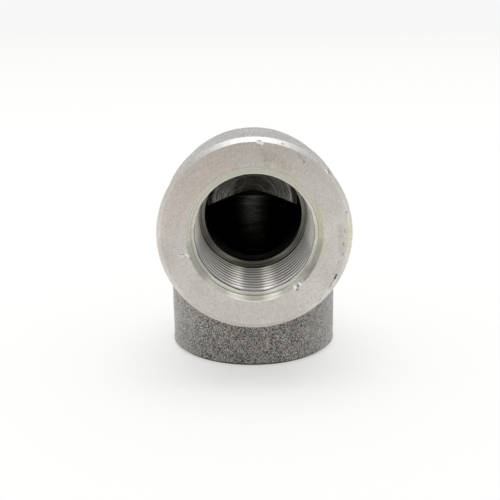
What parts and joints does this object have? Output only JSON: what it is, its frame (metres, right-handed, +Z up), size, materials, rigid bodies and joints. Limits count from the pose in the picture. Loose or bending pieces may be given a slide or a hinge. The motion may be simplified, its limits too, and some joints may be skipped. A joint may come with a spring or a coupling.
{
  "type": "ninety degree pipe elbow",
  "caption": "Forged ninety degree elbow with a tapered internal pipe thread in each port and a drilled waterway between them.",
  "frame": {"origin": "centre of the lower port's face, on which the elbow stands", "axes": "+Z up along the lower port's axis; the other port faces -Y; the bend lies in the YZ plane"},
  "size_m": [0.038, 0.052, 0.052],
  "materials": {
    "forged_steel": "shot-blasted forging, machined port faces and bores"
  },
  "bodies": {
    "root": {"elbow_body": "forged_steel"}
  },
  "joints": []
}
